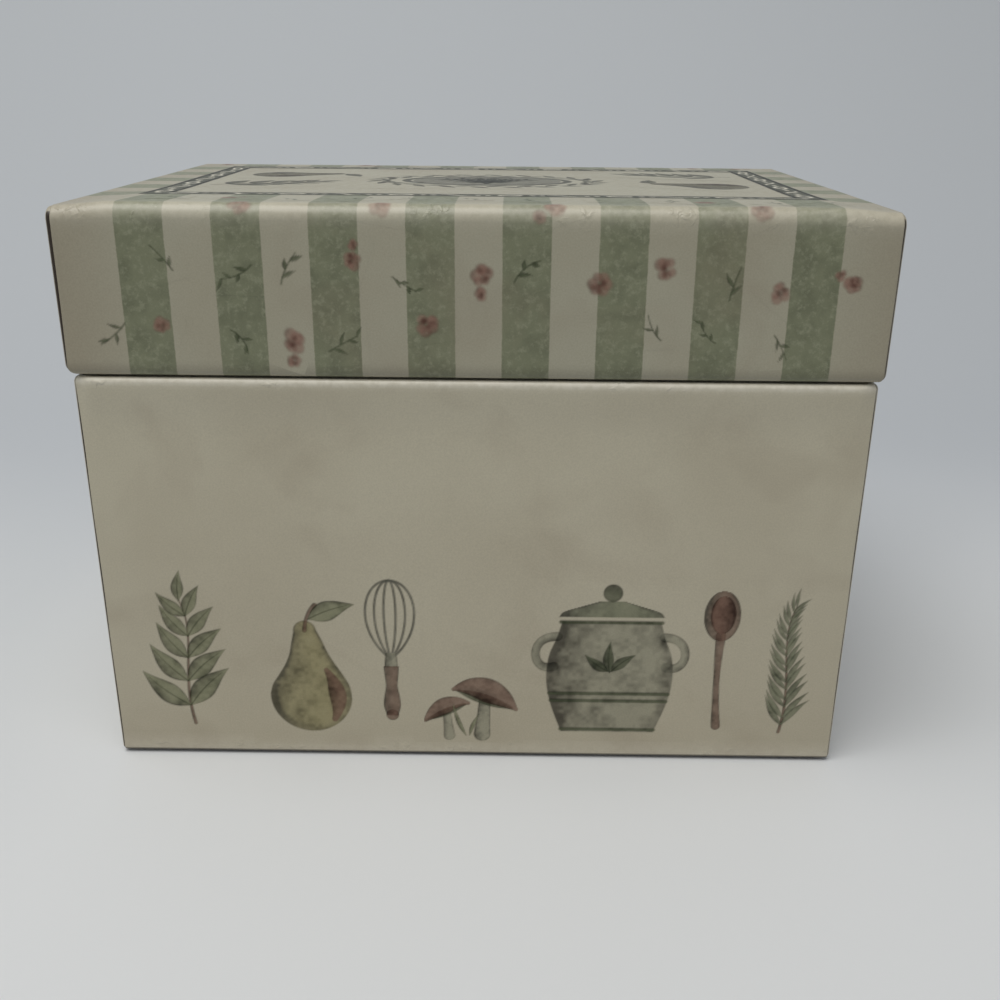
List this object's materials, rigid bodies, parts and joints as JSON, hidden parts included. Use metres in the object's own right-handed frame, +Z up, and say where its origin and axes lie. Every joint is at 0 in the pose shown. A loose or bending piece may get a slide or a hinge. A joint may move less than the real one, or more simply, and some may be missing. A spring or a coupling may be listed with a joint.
{
  "type": "recipe box",
  "caption": "Paper-covered board recipe box with a hinged shoulder lid, an inner neck and tabbed divider cards that tilt forward.",
  "frame": {"origin": "the middle of the closed box's underside, on the surface that it stands on", "axes": "+X to the right along the long side, +Y from the front to the hinge at the back, +Z up"},
  "size_m": [0.1714, 0.123, 0.128],
  "materials": {
    "printed_paper": "satin",
    "grey_board": "matte",
    "lining_paper": "matte",
    "hinge_cloth": "matte",
    "divider_stock": "matte"
  },
  "bodies": {
    "base": {"base_wrap_board": "grey_board", "base_left_side_board": "grey_board", "base_right_side_board": "grey_board", "base_cover_paper": "printed_paper", "base_left_side_paper": "printed_paper", "base_right_side_paper": "printed_paper", "underside_sheet": "lining_paper", "floor_pad": "lining_paper", "neck_front": "lining_paper", "neck_back": "lining_paper", "neck_left": "lining_paper", "neck_right": "lining_paper", "hinge_base_leaf": "hinge_cloth"},
    "lid": {"lid_wrap_board": "grey_board", "lid_left_side_board": "grey_board", "lid_right_side_board": "grey_board", "lid_cover_paper": "printed_paper", "lid_left_side_paper": "printed_paper", "lid_right_side_paper": "printed_paper", "lid_lining": "lining_paper", "hinge_lid_leaf": "hinge_cloth"},
    "divider_1": {"divider_card_1": "divider_stock"},
    "divider_2": {"divider_card_2": "divider_stock"},
    "divider_3": {"divider_card_3": "divider_stock"},
    "divider_4": {"divider_card_4": "divider_stock"},
    "divider_5": {"divider_card_5": "divider_stock"},
    "divider_6": {"divider_card_6": "divider_stock"},
    "divider_7": {"divider_card_7": "divider_stock"},
    "divider_8": {"divider_card_8": "divider_stock"}
  },
  "joints": [
    {"name": "lid_hinge", "type": "hinge", "parent": "base", "child": "lid", "pos_m": [0, 0.0616, 0.09345], "axis": [-1, 0, 0], "range_deg": [0, 180]},
    {"name": "divider_1_tilt", "type": "hinge", "parent": "base", "child": "divider_1", "pos_m": [0, 0.04378, 0.00363], "axis": [1, 0, 0], "range_deg": [0, 60]},
    {"name": "divider_2_tilt", "type": "hinge", "parent": "base", "child": "divider_2", "pos_m": [0, 0.04483, 0.00363], "axis": [1, 0, 0], "range_deg": [0, 52.5]},
    {"name": "divider_3_tilt", "type": "hinge", "parent": "base", "child": "divider_3", "pos_m": [0, 0.04588, 0.00363], "axis": [1, 0, 0], "range_deg": [0, 45]},
    {"name": "divider_4_tilt", "type": "hinge", "parent": "base", "child": "divider_4", "pos_m": [0, 0.04693, 0.00363], "axis": [1, 0, 0], "range_deg": [0, 37.5]},
    {"name": "divider_5_tilt", "type": "hinge", "parent": "base", "child": "divider_5", "pos_m": [0, 0.04798, 0.00363], "axis": [1, 0, 0], "range_deg": [0, 30]},
    {"name": "divider_6_tilt", "type": "hinge", "parent": "base", "child": "divider_6", "pos_m": [0, 0.04903, 0.00363], "axis": [1, 0, 0], "range_deg": [0, 22.5]},
    {"name": "divider_7_tilt", "type": "hinge", "parent": "base", "child": "divider_7", "pos_m": [0, 0.05008, 0.00363], "axis": [1, 0, 0], "range_deg": [0, 15]},
    {"name": "divider_8_tilt", "type": "hinge", "parent": "base", "child": "divider_8", "pos_m": [0, 0.05113, 0.00363], "axis": [1, 0, 0], "range_deg": [0, 7.5]}
  ],
  "couplings": [
    {"joint": "divider_2_tilt", "follows": "divider_1_tilt", "ratio": 0.875},
    {"joint": "divider_3_tilt", "follows": "divider_1_tilt", "ratio": 0.75},
    {"joint": "divider_4_tilt", "follows": "divider_1_tilt", "ratio": 0.625},
    {"joint": "divider_5_tilt", "follows": "divider_1_tilt", "ratio": 0.5},
    {"joint": "divider_6_tilt", "follows": "divider_1_tilt", "ratio": 0.375},
    {"joint": "divider_7_tilt", "follows": "divider_1_tilt", "ratio": 0.25},
    {"joint": "divider_8_tilt", "follows": "divider_1_tilt", "ratio": 0.125}
  ]
}
